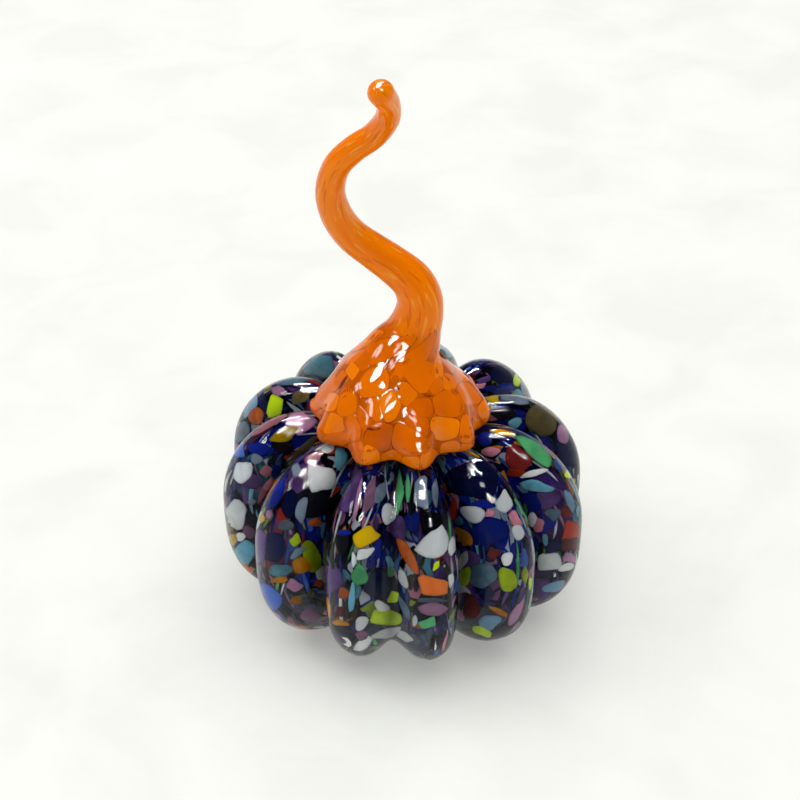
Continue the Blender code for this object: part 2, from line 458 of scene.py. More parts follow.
# Chips of coloured glass under the skin. Colours are as they look on the object.
chipColours = {
    "white": (249, 253, 255), "lime": (158, 180, 16), "yellow": (176, 142, 6),
    "amber": (196, 118, 6), "orange": (206, 92, 34), "red": (168, 46, 26),
    "periwinkle": (50, 84, 158), "cobalt": (12, 28, 118), "navy": (6, 12, 48),
    "teal": (84, 140, 158), "steel": (92, 124, 146), "mauve": (140, 98, 128), "plum": (74, 50, 100),
    "pink": (196, 116, 132), "emerald": (68, 142, 92), "olive": (92, 80, 50),
    "smoke": (94, 106, 120), "garnet": (92, 22, 22), "pearl": (176, 180, 198),
    "black": (10, 10, 16),
}
chip = {
    "seed": 11,
    "corners": 20,
    "rings": (1.0, 0.93, 0.75, 0.35),
    # How dark the fringe is at each ring
    "edges": (0.8, 0.25, 0.0, 0.0),
    "depth": 0.4 * mm,
    "depthBySize": 0.005 * mm,
    "darkDepth": 0.25 * mm,
    "dark": ("navy", "cobalt", "black", "plum"),
    "thickness": 0.45 * mm,
    "room": 0.8,  # how near others may come, as a share of its reach
    # A chip stops where its surface falls away: how slanted it may lie, and some leeway
    "slant": 2.0,
    "leeway": 0.8 * mm,
    # The rows round the ribs' feet, and how often a chip is left out there
    "feet": (0.65, 0.80),
    "bareFeet": 0.7,
    "roughness": 0.3,
    # Shares of a chip's colour: its cloudy tones, each with a little added, its fringe, and painted shade
    # in the grooves
    "cloud": (240.0, 3.0, 1.0),
    "ownTone": 0.5,
    "toneSpan": (0.25, 0.75),
    "darker": (0.84, 4),
    "lighter": (1.34, 10),
    "fringe": (0.5, 0.5),
    "paintedShadeInGrooves": (0.85, 0.2),
}

# The chips that show best from the front: place in the photograph, width and height there in
# pixels, lean in degrees (else 0), and how square the outline is, from 0 for an oval to 10 (else 3).
# Below 0 it is a half moon, flat side up.
frontChips = {
    "white": (
        (321, 476, 30, 32, 20, 2), (235, 515, 27, 31, -30), (389, 514, 15, 22, 0, 0),
        (435, 545, 38, 26, 42, -8), (452, 546, 8, 20, 0, 0), (365, 553, 22, 11, 25, 1),
        (472, 514, 26, 17, -18, 1), (504, 501, 17, 24, 8, 2), (549, 562, 25, 20, 15, 6),
        (361, 623, 12, 17, -40, 1), (462, 562, 9, 23, -30, 1), (403, 579, 9, 21, 25, 1),
        (382, 607, 17, 11, -20), (518, 532, 13, 17), (241, 537, 10, 9, 0, 2), (451, 581, 6, 15, 0, 1),
        (566, 567, 17, 8, 10), (533, 520, 12, 16), (507, 559, 12, 14, 0, 4), (328, 449, 15, 8, 20),
        # The last two chips on this line and the one below lie along the arch between the two front ribs'
        # feet: they are pearl glass, painted white as painted light for the light from the table under
        # the arch
        (534, 473, 30, 7, 18), (363, 644, 22, 11, 42, 2), (386, 634, 32, 11, 8, 2),
        (405, 637, 18, 9, -30, 2),
    ),
    "lime": (
        (275, 408, 18, 28, 5, 5), (312, 556, 18, 33, 12, 1), (465, 576, 13, 20, -30, 2),
        (507, 579, 19, 26, 25, 4), (386, 617, 33, 17, 0, 4), (525, 574, 7, 20, 0, 4),
        (296, 540, 11, 14, -30), (482, 631, 21, 9, -20, 2), (436, 566, 7, 11, 0, 2),
        (569, 474, 10, 9, 0, 4), (517, 379, 8, 15), (393, 597, 12, 12, 0, 1),
    ),
    "yellow": (
        (233, 540, 12, 12, 0, 2), (366, 536, 28, 18, 25, 2), (491, 396, 16, 15, 0, 6),
        (286, 434, 36, 15, 20), (268, 387, 7, 6, 0, 1), (262, 518, 6, 11, 0, 2),
    ),
    "amber": (
        (303, 565, 22, 17, 0, 0), (464, 536, 24, 11, -42), (279, 580, 18, 7, 8, 2),
        (341, 623, 18, 6, -8, 1), (498, 611, 22, 6, -25, 1), (296, 600, 12, 9, 0, 9),
    ),
    "orange": (
        (256, 416, 16, 18, 20, 5), (408, 556, 11, 42, 28), (433, 585, 31, 22, 0, 9),
        (247, 570, 13, 12, -30), (315, 522, 14, 9, 0, 2), (299, 628, 18, 5, 0, 1),
        (344, 593, 13, 12, 0, 2),
    ),
    "red": (
        (452, 509, 10, 23), (571, 530, 19, 20, 0, 8), (444, 492, 5, 18, 0, 2), (516, 473, 18, 9, -10),
    ),
    "garnet": (
        (518, 459, 28, 24, -20, 2), (570, 544, 18, 14, 0, 6), (495, 554, 16, 11),
        (340, 612, 10, 11, 0, 8), (566, 512, 12, 12), (471, 607, 17, 24, 0, 4),
    ),
    "periwinkle": (
        (269, 596, 24, 31, 20, 2), (559, 464, 12, 14, 0, 1), (525, 558, 6, 20),
    ),
    "cobalt": (
        (490, 531, 40, 30), (533, 503, 30, 21, 0, 4), (482, 504, 30, 10, 0, 5),
        (276, 496, 11, 32, -28, 4), (259, 450, 25, 16, 10), (275, 471, 13, 13, 0, 1),
        (372, 562, 11, 16, -20, 2), (484, 439, 16, 15, 0, 4), (279, 487, 8, 26, -35, 4),
        (344, 533, 14, 7, 0, 4), (507, 387, 18, 9), (412, 521, 16, 24, 0, 5),
    ),
    "navy": (
        (472, 478, 54, 42, -20, 2), (378, 584, 30, 34), (262, 401, 10, 24, 25),
        (290, 503, 17, 31, -15, 4), (485, 595, 20, 18), (553, 546, 16, 15), (272, 547, 28, 30),
        (503, 374, 26, 20), (564, 448, 18, 40, 15),
    ),
    "black": (
        (431, 522, 24, 26, 0, 6), (342, 543, 14, 26, 0, 5), (412, 508, 8, 56, -3, 5),
        (445, 520, 6, 60, 0, 5), (448, 590, 6, 60, 4, 5), (330, 540, 7, 70, 4, 5),
        (310, 501, 14, 12, 0, 2), (504, 414, 28, 13, 0, 4), (282, 447, 22, 17, 0, 2),
        (310, 498, 50, 40, 0, 2),
    ),
    "teal": (
        (245, 553, 22, 26, -25), (537, 486, 36, 12, -8, 4), (318, 367, 32, 25, 10),
        (341, 459, 14, 24, -10), (352, 597, 7, 31, -5), (281, 571, 25, 13, 0, 4), (515, 423, 14, 11),
        (459, 521, 9, 9, 0, 2), (545, 540, 6, 12, 0, 2), (358, 592, 7, 14, -20, 1), (390, 562, 9, 12),
    ),
    "steel": (
        (482, 575, 31, 27, -20), (292, 381, 36, 8, 5), (250, 406, 12, 28, -30, 4),
        (490, 623, 24, 16, 0, 5), (554, 587, 25, 11, 25, 2), (553, 515, 17, 13, 0, 5),
        (447, 351, 16, 14, 0, 2), (298, 552, 20, 8, 35), (570, 501, 8, 25, 20), (404, 607, 7, 28, 25),
    ),
    "mauve": (
        (302, 422, 33, 27, 0, 2), (433, 609, 31, 14, 0, 5), (370, 497, 13, 44, -16, 4),
        (358, 500, 5, 46, -10, 4), (278, 391, 14, 10), (310, 615, 21, 15), (362, 636, 14, 12, -30, 2),
        (249, 532, 13, 14), (570, 558, 15, 11, 0, 5), (563, 434, 12, 20, 0, 2), (295, 585, 18, 14, 0, 4),
    ),
    "pink": (
        (268, 425, 44, 7, 32), (266, 471, 13, 12), (262, 495, 7, 20, -30), (315, 457, 23, 10, 25),
        (268, 485, 7, 18, -30), (538, 525, 13, 15, 0, 4), (490, 513, 11, 8, 0, 2), (491, 452, 20, 10, 10),
        (515, 519, 10, 17, 30),
    ),
    "emerald": (
        (534, 450, 46, 15, -38, 4), (400, 492, 9, 48, -4, 4), (408, 488, 5, 30),
        (360, 575, 18, 21, -10, 4), (525, 510, 6, 13), (391, 571, 7, 12, 0, 2),
    ),
    "olive": (
        (541, 420, 32, 32, 0, 2), (302, 396, 22, 15, 10), (228, 528, 12, 10), (325, 551, 4, 30, 0, 5),
        (302, 450, 42, 8, 40, 4), (301, 368, 8, 14),
    ),
    "smoke": (
        (421, 492, 15, 34, 0, 6), (435, 493, 7, 30, 0, 5), (301, 510, 11, 27, -10),
        (515, 399, 30, 10, -12, 4), (380, 493, 12, 22, -10), (252, 502, 9, 7, 20, 1),
        (296, 470, 11, 12, 30, 8), (286, 525, 17, 11), (257, 459, 12, 11, 0, 2),
        (242, 433, 14, 24, -25, 4), (432, 600, 30, 5, 0, 5), (259, 570, 7, 11),
    ),
    "pearl": (
        (243, 473, 20, 22, 0, 2),
    ),
    "plum": (
        (350, 488, 22, 52, -14, 4), (300, 478, 26, 34, -30), (258, 548, 22, 36, -10), (398, 530, 16, 30),
        (470, 560, 22, 26, 10), (548, 500, 26, 22), (330, 580, 26, 30), (250, 480, 24, 18, -30),
        (540, 590, 22, 24),
    ),
}

chipEdge = {
    "sides": (4, 8),
    "blockFrom": 0.55,  # from this squareness on it has four sides and keeps upright
    "uneven": 0.22,
    "far": (0.76, 1.1),
    "moonCut": 0.1,
    # How straight the sides are, and how much more so with squareness
    "straight": (4.0, 11.0),
    # Waves round the edge: how many, and how strong
    "waves": ((2, 0.07), (3, 0.06)),
    "waveShift": 6,
}
skinColumns = bodySheet.points.shape[0]
drawInStep = 0.05  # a patch's corner is drawn in by this share at a time


def outline(corners, squareness, random):
    # A chip's edge, from -1 to 1 across and up: a blunt polygon, nearer to a block as squareness
    # grows, and a half moon where it is below 0
    turn = 2 * np.pi * np.arange(corners) / corners
    block = squareness > chipEdge["blockFrom"]
    sides = 4 if block else random.integers(*chipEdge["sides"])
    roundness, uneven = 0.0, chipEdge["uneven"]
    facing = 2 * np.pi * (np.arange(sides) + random.uniform(-uneven, uneven, sides)) / sides
    if not block:
        facing += random.uniform(0, np.pi)
    far = random.uniform(*chipEdge["far"], sides)
    waves = [wave * np.sin(turns * turn + random.uniform(0, chipEdge["waveShift"]))
             for turns, wave in chipEdge["waves"]]
    wobble = 1.0 + sum(waves)
    if squareness < 0:
        facing, far, roundness, wobble = np.array([np.pi / 2]), np.array([chipEdge["moonCut"]]), 1.0, 1.0
    power = chipEdge["straight"][0] + chipEdge["straight"][1] * abs(squareness)
    pull = np.maximum(np.cos(turn[:, None] - facing), 0.0) / far
    reach = (roundness + (pull ** power).sum(1)) ** (-1.0 / power) * wobble
    across, up = reach * np.cos(turn), reach * np.sin(turn)
    return 2 * (across - across.min()) / np.ptp(across) - 1, 2 * (up - up.min()) / np.ptp(up) - 1


def leaned(across, up, lean):
    return across * math.cos(lean) - up * math.sin(lean), across * math.sin(lean) + up * math.cos(lean)


def tracedPatch(look, sheet, x, y, edge, depth=0.0, refraction=1.0):
    # A patch round a place in the photograph: points and normals by corner and ring, and those of
    # its middle. A corner that lies too far from the middle is drawn in.
    def spotAt(moveX, moveY):
        return sheet.seen(x + moveX, y + moveY, depth, refraction)

    middle = spotAt(0.0, 0.0)
    if middle is None:
        raise ValueError(f"the sheet isn't seen at {x}, {y}")
    points, normals = [], []
    for moveX, moveY in edge:
        share = 1.0
        while share > drawInStep:
            spot = spotAt(moveX * share, moveY * share)
            limit = look["slant"] * share * math.hypot(moveX, moveY) * view["pixel"] + look["leeway"]
            if spot is not None and np.linalg.norm(spot[0] - middle[0]) < limit:
                break
            share -= drawInStep
        spots = [spotAt(moveX * share * ring, moveY * share * ring) or middle for ring in look["rings"]]
        points.append([spot[0] for spot in spots])
        normals.append([spot[1] for spot in spots])
    return np.array(points), np.array(normals), *middle


def lens(look, patch, thickness):
    # A flat pebble round a patch: from the middle of its face out to its edge, and in again behind
    points, normals, middle, middleNormal = patch
    rise = 0.5 * thickness * np.sqrt(1.0 - np.array(look["rings"]) ** 2)
    over = normals * rise[:, None]
    face, back = (points + over).swapaxes(0, 1), (points - over).swapaxes(0, 1)
    tip = 0.5 * thickness * middleNormal
    return closedShell(np.concatenate([face[::-1], back[1:]]), middle + tip, middle - tip)


def edgeLevels(look):
    # How dark the fringe is at each of a lens's points, which come in the order of its rings
    levels = look["edges"][::-1] + look["edges"][1:]
    return np.append(np.repeat(levels, look["corners"]), [0.0, 0.0])


def frontChip(place, depth, random):
    x, y, width, height, lean, squareness = (*place, *(0, 3)[len(place) - 4:])
    edgeX, edgeY = outline(chip["corners"], squareness / 10, random)
    moveX, moveY = leaned(0.5 * width * edgeX, 0.5 * height * edgeY, math.radians(lean))
    return tracedPatch(chip, bodySheet, x, y, zip(moveX, -moveY), depth, skin["refraction"])


def pebbleOn(look, sheet, column, row, across, along, depth, thickness):
    # A pebble that lies along a sheet, from its edge's reach across and along it
    whole = (int(column) % len(sheet.points), int(row))
    if sheet.rowsDown:  # so that the corners go round in the same way on either sheet
        across, along = across[::-1], along[::-1]
    columns = column + np.outer(across / sheet.columnWidth[whole], look["rings"])
    rows = row + np.outer(along / sheet.rowWidth[whole], look["rings"])
    rows = np.clip(rows, 1, sheet.points.shape[1] - 1)
    points = sheet.at(columns, rows, np.full(columns.shape, depth))
    normals = sheet.read(sheet.normals, columns, rows)
    middle = sheet.at(np.array([column]), np.array([float(row)]), np.array([depth]))[0]
    return lens(look, (points, normals, middle, sheet.normals[whole]), thickness)


# Chips all over the body by a seeded rule, in layers: how many are tried, size and depth in
# millimetres, how much longer than wide, how close two may lie, and how often each colour comes
carpet = {
    "upper": {
        "tries": 7000,
        "size": (2.0, 7.4),
        "depth": (1.0, 1.5),
        "stretch": (1.0, 2.8),
        "spacing": 0.43,
        "colours": {
            "navy": 14, "cobalt": 15, "black": 7, "plum": 8, "smoke": 3, "mauve": 9, "teal": 8,
            "steel": 6, "white": 10, "lime": 7, "yellow": 3, "amber": 4, "orange": 5, "red": 3,
            "periwinkle": 6, "pink": 5, "emerald": 4, "olive": 4, "garnet": 4, "pearl": 5,
        },
    },
    "streaks": {
        "tries": 2600,
        "size": (1.6, 3.4),
        "depth": (1.6, 2.0),
        "stretch": (5.0, 14.0),
        "spacing": 0.5,
        "colours": {
            "cobalt": 12, "pearl": 9, "mauve": 7, "plum": 9, "steel": 7, "smoke": 3, "periwinkle": 6,
            "teal": 6, "navy": 12, "garnet": 4, "emerald": 4, "pink": 4, "white": 4, "amber": 2,
        },
    },
    # The calmer colours between the drawn chips, how often they come there, and where that is
    "quiet": {
        "navy": 18, "cobalt": 26, "black": 8, "plum": 16, "mauve": 7, "teal": 7, "steel": 6, "garnet": 3,
        "olive": 3, "periwinkle": 6, "emerald": 3, "white": 2, "pink": 2, "amber": 1, "lime": 1,
    },
    "quietShare": 0.8,
    "facing": 0.3,
    "squareness": (0, 0.9),
    "firstRow": 12,
    "lastRow": body["rows"] - 3,
    # Chips are drawn out towards the top: from which share of the rows, over which, and how much
    "drawn": (0.42, 0.3, 2.4),
    # From this stretch on a chip keeps in line with its rib, but for a little sway
    "longFrom": 1.6,
    "sway": 0.35,
}


def carpetChips(layer, placed, sizes, random):
    # Dart throwing: a chip stays away from its neighbours by a share of their sizes
    mixes = []
    for colours in (layer["colours"], carpet["quiet"]):
        weights = np.array(list(colours.values()), float)
        mixes.append((list(colours), weights / weights.sum()))
    area = bodySheet.columnWidth * bodySheet.rowWidth
    low, high = layer["size"]
    drawnFrom, drawnOver, drawnBy = carpet["drawn"]
    for attempt in range(layer["tries"]):
        column = random.uniform(0, skinColumns)
        row = random.uniform(carpet["firstRow"], carpet["lastRow"])
        whole, down = (int(column), int(row)), row / body["rows"]
        if random.uniform(0, area.max()) > area[whole]:
            continue
        size = (low + (high - low) * random.uniform() ** 2) * mm
        if chip["feet"][0] < down < chip["feet"][1] and random.uniform() < chip["bareFeet"]:
            continue
        point = bodySheet.points[whole]
        if placed:
            gaps = np.linalg.norm(np.array(placed) - point, axis=1)
            if (gaps < layer["spacing"] * (np.array(sizes) + size)).any():
                continue
        placed.append(point)
        sizes.append(size)
        drawn = float(smoothStep(drawnFrom - down, 0.0, drawnOver))
        stretch = random.uniform(*layer["stretch"]) * (1.0 + drawnBy * drawn)
        sight = eye - point
        faces = bodySheet.normals[whole].dot(sight) > carpet["facing"] * np.linalg.norm(sight)
        quiet = faces and layer is carpet["upper"] and random.uniform() < carpet["quietShare"]
        names, weights = mixes[int(quiet)]
        edgeX, edgeY = outline(chip["corners"], random.uniform(*carpet["squareness"]), random)
        sway = carpet["sway"]
        lean = random.uniform(-sway, sway) if stretch > carpet["longFrom"] else random.uniform(0, np.pi)
        slim = math.sqrt(stretch)
        across, along = leaned(0.5 * size / slim * edgeX, 0.5 * size * slim * edgeY, lean)
        depth = random.uniform(*layer["depth"]) * mm
        yield random.choice(names, p=weights), pebbleOn(
            chip, bodySheet, column, row, across, along, depth, chip["thickness"])


def chipMaterial(name, colour):
    material, shader, wire = newMaterial(
        "glass_" + name, Roughness=chip["roughness"], Specular_IOR_Level=0.0)

    def toned(share, more=0.0):
        return paint(tuple(min(252.0, share * value + more) for value in colour))

    cloud = wire.noise(wire.place(), *chip["cloud"])
    own = chip["ownTone"]
    level = wire.between(wire.attribute("tone") * own + cloud * (1 - own), *chip["toneSpan"])
    shade = wire.mixed(level, toned(*chip["darker"]), toned(*chip["lighter"]))
    # The darker fringe is the chip's own colour; the groove mark is painted shade in the body's grooves
    for where, (strength, share) in (("edge", chip["fringe"]), ("groove", chip["paintedShadeInGrooves"])):
        shade = wire.mixed(wire.attribute(where) * strength, shade, toned(share))
    connect(wire, shader, Base_Color=shade)
    return material


def makeChips():
    random = np.random.default_rng(chip["seed"])
    heaps = {name: Heap() for name in chipColours}
    fringe = edgeLevels(chip)
    placed, sizes = [], []
    for name, places in frontChips.items():
        for place in places:
            size = math.sqrt(place[2] * place[3])
            depth = chip["depth"] + chip["depthBySize"] * size
            depth += chip["darkDepth"] * (name in chip["dark"])
            patch = frontChip(place, depth, random)
            heaps[name].add(lens(chip, patch, chip["thickness"]), random.uniform(), fringe)
            placed.append(patch[2])
            sizes.append(np.linalg.norm(np.ptp(patch[0][:, 0], axis=0)) * chip["room"])
    for layer in (carpet["upper"], carpet["streaks"]):
        for name, shape in carpetChips(layer, placed, sizes, random):
            heaps[name].add(shape, random.uniform(), fringe)
        placed, sizes = [], []
    for name, heap in heaps.items():
        vertices = np.vstack(heap.vertices)
        floats = {"tone": heap.tone, "edge": heap.edge, "groove": paintedGrooveShade(vertices)}
        material = chipMaterial(name, chipColours[name])
        addPiece("chips_" + name, vertices, heap.faces, material, floats)
    print("chips", sum(len(heap.vertices) for heap in heaps.values()))


makeChips()

# Core: dark glass behind the chips, clear towards the feet of the ribs, where it is painted slate grey as
# painted light for the pale table seen through the clear glass
core = {
    "depth": 2.2 * mm,
    "footDepth": 3.0 * mm,
    "footRows": (0.61, 0.70),
    "columnStep": 4,
    "rows": (3, body["rows"] - 2, 3),
    "lengthen": 1.5,
    "bend": (0.16, 3.0),
    # The scale of the patches, and their colours from a share of the whole on
    "largeScale": 0.16,
    "large": (
        (0.0, (6, 9, 26)), (0.20, (14, 28, 126)), (0.38, (18, 24, 72)), (0.50, (60, 38, 98)),
        (0.60, (20, 44, 160)), (0.72, (5, 6, 12)), (0.80, (48, 82, 112)), (0.88, (104, 62, 108)),
        (0.95, (62, 56, 40)),
    ),
    "smallScale": 0.34,
    "small": (
        (0.0, (72, 110, 190)), (0.14, (176, 184, 198)), (0.26, (120, 76, 126)), (0.38, (76, 130, 150)),
        (0.50, (16, 36, 140)), (0.66, (186, 116, 138)), (0.74, (138, 160, 36)), (0.82, (196, 112, 24)),
        (0.90, (62, 132, 98)), (0.95, (150, 44, 36)),
    ),
    # The small patches show in clouds, and not at their own edges
    "smallClouds": (0.5, 1.0),
    "smallFrom": (0.5, 0.56),
    "smallEdge": (0.03, 0.08),
    "seam": (3, 4, 8),
    "seamWidth": 0.12,
    # Painted light: slate grey at the feet, for the pale table seen through the clear glass there
    "paintedFootLight": [(0.35, (50, 54, 70)), (0.65, (104, 108, 126))],
    "paintedFootLightClouds": (0.3, 3.0),
    "paintedFootLightShare": 0.85,
    # Painted shade in the grooves: its colour and how strongly it is mixed in
    "paintedShadeInGrooves": (2, 2, 5),
    "grooveShare": 0.9,
}


def coreMaterial():
    material, shader, wire = newMaterial(
        "dark_core_glass", Roughness=chip["roughness"], Specular_IOR_Level=0.0)
    place = wire.add("CombineXYZ", None, {
        "X": wire.attribute("turnX"), "Y": wire.attribute("turnY"), "Z": wire.attribute("along")})
    scale, reach = core["bend"]
    bend = wire.add("TexNoise", None, {"Vector": place, "Scale": scale, "Detail": 2.0}, "Color")
    place = wire.add("VectorMath", {"operation": "MULTIPLY_ADD"}, {0: bend, 1: (reach,) * 3, 2: place})
    colour, edge = wire.cells(place, core["largeScale"], core["large"])
    colour = wire.mixed(1 - wire.between(edge, 0.0, core["seamWidth"]), colour, paint(core["seam"]))
    small, edge = wire.cells(place, core["smallScale"], core["small"])
    chosen = wire.between(wire.noise(place, *core["smallClouds"]), *core["smallFrom"])
    colour = wire.mixed(chosen * wire.between(edge, *core["smallEdge"]), colour, small)
    # Painted light towards the feet, for the table seen through the clear glass
    paintedFootLight = wire.ramp(wire.noise(place, *core["paintedFootLightClouds"]), core["paintedFootLight"])
    colour = wire.mixed(wire.attribute("foot") * core["paintedFootLightShare"], colour, paintedFootLight)
    # Painted shade in the grooves between the ribs
    colour = wire.mixed(wire.attribute("groove") * core["grooveShare"], colour, paint(core["paintedShadeInGrooves"]))
    connect(wire, shader, Base_Color=colour)
    return material


def makeCore():
    columns = np.arange(0, skinColumns, core["columnStep"])
    rows = np.arange(*core["rows"])
    column, row = np.meshgrid(columns.astype(float), rows.astype(float))
    foot = smoothStep(row / body["rows"], *core["footRows"])
    rings = bodySheet.at(column, row, core["depth"] + core["footDepth"] * foot)
    vertices, faces = closedShell(rings, rings[0].mean(0), rings[-1].mean(0))
    angles = np.arctan2(vertices[:, 0], -vertices[:, 1])
    reach = body["radius"] / mm
    length = np.append(0.0, np.cumsum(np.linalg.norm(np.diff(rings[:, 0], axis=0), axis=1))) / mm
    length = np.append(np.repeat(length, len(columns)), [0.0, length[-1]]) / core["lengthen"]
    floats = {
        "turnX": reach * np.sin(angles), "turnY": reach * np.cos(angles), "along": length,
        "foot": np.append(foot.ravel(), [0.0, 1.0]), "groove": paintedGrooveShade(vertices),
    }
    return addPiece("body_dark_core", vertices, faces, coreMaterial(), floats)


makeCore()
print("core made")

# Stem: cap and tendril, as the part's source has them, on a finer grid
stem = {
    # Middle line from the cap's rim to the tip: x, y, z and radius, in millimetres
    "line": (
        (-0.6, -3.0, 46.1, 17.3), (-0.7, -2.5, 50.8, 15.9), (-0.5, -1.7, 55.7, 12.8),
        (0.4, -0.6, 60.9, 8.3), (2.1, 0.3, 65.2, 5.7), (3.2, 0.8, 69.3, 4.9),
        (3.2, 1.1, 72.8, 4.55), (1.6, 1.8, 76.2, 4.2), (-1.9, 2.6, 79.2, 3.85),
        (-5.9, 3.0, 82.2, 3.6), (-10.1, 2.8, 86.0, 3.35), (-12.9, 2.0, 91.1, 3.15),
        (-13.9, 0.6, 97.2, 2.9), (-12.5, -0.8, 103.1, 2.7), (-9.2, -1.6, 107.2, 2.6),
        (-5.5, -2.4, 110.4, 2.5), (-3.0, -4.2, 114.8, 2.4), (-2.8, -6.6, 119.1, 2.3),
        (-4.0, -9.5, 122.8, 2.5),
    ),
    "steps": 10,
    "tipRows": 10,
    "fluteLengths": (1.7, 1.25, 1.0, 0.9, 1.1, 0.95, 1.05, 1.0, 1.25, 1.5),
    "fluteAngle": 12.6,
    "fluteDepth": 0.13,
    "fluteHeight": 20.0 * mm,
    "fluteTurn": 60.0,
    "fluteSharpness": 2.0,
    "fluteFade": 3.0,
    "edge": 1.7 * mm,
    "edgeTurns": (-75.0, -50.0, -25.0, 0.0),
    "undersideRows": 12,
    "columnsPerFlute": 24,
    "fuseGap": 0.3 * mm,
    "roughness": 0.03,
    "refraction": 1.5,
    "mirror": 0.28,
    "clouds": [(0.32, (246, 120, 0)), (0.5, (254, 128, 0)), (0.68, (255, 138, 0))],
    "cloudForm": (1.6, 3.0, 0.4),
    "drawnOut": 0.035,  # how slowly its pattern changes along a millimetre
    # Threads of paler and deeper glass that were drawn out along the tendril, how strong they are,
    # and the length along the stem over which the pale ones begin, in millimetres
    "threads": (5.0, 2.0, 0.2),
    "pale": (252, 178, 70),
    "paleThreads": (0.60, 0.66),
    "paleFrom": (14.0, 30.0),
    "paleShare": 0.55,
    "deep": (206, 84, 0),
    "deepThreads": (-0.40, -0.34),
    "deepShare": 0.5,
    # The glass under the flakes, and the length over which it ends
    "underFlakes": (176, 74, 0),
    "skirt": (22.0, 31.0),
    "skirtShare": 0.8,
}
fluteCount = len(stem["fluteLengths"])
stemColumns = fluteCount * stem["columnsPerFlute"]
stemAngles = np.radians(stem["fluteAngle"] + 360.0 * np.arange(stemColumns) / stemColumns)


def crownHeight(distance):
    # Height of the ribs' crests at a distance from the axis, above the waist
    radius, height = meridian(max(rib[2] for rib in body["ribs"]), 0.0, 0.0)
    upper = height > body["halfHeight"]
    return np.interp(distance, radius[upper], height[upper])


def smoothLine(points, steps):
    knots = np.array(points) * mm
    knots = np.vstack([2 * knots[0] - knots[1], knots, 2 * knots[-1] - knots[-2]])
    line = []
    for index in range(1, len(knots) - 2):
        before, start, end, after = knots[index - 1:index + 3]
        for step in range(steps):
            t = step / steps
            line.append(0.5 * (
                2 * start + (end - before) * t
                + (2 * before - 5 * start + 4 * end - after) * t ** 2
                + (3 * start - before - 3 * end + after) * t ** 3))
    line.append(knots[-2])
    return np.array(line)


def fluted(radius, relief):
    swell = np.abs(np.cos(0.5 * fluteCount * (stemAngles - stemAngles[0]))) ** stem["fluteSharpness"]
    each = stem["columnsPerFlute"]
    lengths = np.roll(np.repeat(stem["fluteLengths"], each), -each // 2)
    return radius * (1.0 + relief * (swell * lengths - 0.5))


def ringAround(centre, across, behind, angles, reach):
    return centre + np.outer(reach * np.sin(angles), across) - np.outer(reach * np.cos(angles), behind)


def capEdgeRings():
    x, y, z, radius = (value * mm for value in stem["line"][0])
    half = stem["edge"] / 2
    rim = fluted(radius, stem["fluteDepth"])
    rows = [(rim - half) * row / stem["undersideRows"] for row in range(1, stem["undersideRows"] + 1)]
    turns = np.radians(stem["edgeTurns"])
    reaches = rows + [rim - half * (1.0 - math.cos(turn)) for turn in turns]
    rises = [0.0] * len(rows) + [half * (1.0 + math.sin(turn)) for turn in turns]
    for reach, rise in zip(reaches, rises):
        ring = ringAround(np.array([x, y, 0.0]), np.eye(3)[0], np.eye(3)[1], stemAngles, reach)
        ring[:, 2] = crownHeight(np.hypot(ring[:, 0], ring[:, 1])) + stem["fuseGap"] + rise
        yield ring


def stemRings(rimHeights):
    line = smoothLine(stem["line"], stem["steps"])
    centres = line[:, :3]
    across = np.array([1.0, 0.0, 0.0])
    for index, (centre, radius) in enumerate(zip(centres, line[:, 3])):
        ahead = centres[min(index + 1, len(centres) - 1)] - centres[max(index - 1, 0)]
        if index == 0:
            ahead = np.array([0.0, 0.0, 1.0])
        ahead = ahead / np.linalg.norm(ahead)
        across = across - ahead * across.dot(ahead)
        across /= np.linalg.norm(across)
        behind = np.cross(ahead, across)
        drape = max(0.0, 1.0 - (centre[2] - centres[0][2]) / stem["fluteHeight"])
        angles = stemAngles + math.radians(stem["fluteTurn"]) * (1.0 - drape) ** 2
        reach = fluted(radius, stem["fluteDepth"] * drape ** stem["fluteFade"])
        ring = ringAround(centre, across, behind, angles, reach)
        ring[:, 2] += (rimHeights + stem["edge"] / 2 - centres[0][2]) * drape ** 2
        yield ring
    for row in range(1, stem["tipRows"]):
        lean = 0.5 * np.pi * row / stem["tipRows"]
        middle = centre + ahead * (radius * math.sin(lean))
        yield ringAround(middle, across, behind, angles, np.full(stemColumns, radius * math.cos(lean)))
    yield np.tile(centre + ahead * radius, (stemColumns, 1))


def orangeMaterial(name):
    return newMaterial(
        name, Roughness=stem["roughness"], IOR=stem["refraction"], Specular_Tint=grey(stem["mirror"]))


def stemMaterial():
    material, shader, wire = orangeMaterial("orange_glass")
    along = wire.attribute("along")
    turn = wire.attribute("around") * (2 * math.pi)
    place = wire.add("CombineXYZ", None, {
        "X": wire.maths("SINE", turn), "Y": wire.maths("COSINE", turn), "Z": along * stem["drawnOut"]})
    colour = wire.ramp(wire.noise(place, *stem["cloudForm"]), stem["clouds"])
    threads = wire.noise(place, *stem["threads"])
    pale = wire.between(threads, *stem["paleThreads"]) * wire.between(along, *stem["paleFrom"])
    deep = wire.between(0 - threads, *stem["deepThreads"])
    skirt = 1 - wire.between(along, *stem["skirt"])
    for share, tone in (
            (pale * stem["paleShare"], "pale"), (deep * stem["deepShare"], "deep"),
            (skirt * stem["skirtShare"], "underFlakes")):
        colour = wire.mixed(share, colour, paint(stem[tone]))
    connect(wire, shader, Base_Color=colour)
    return material


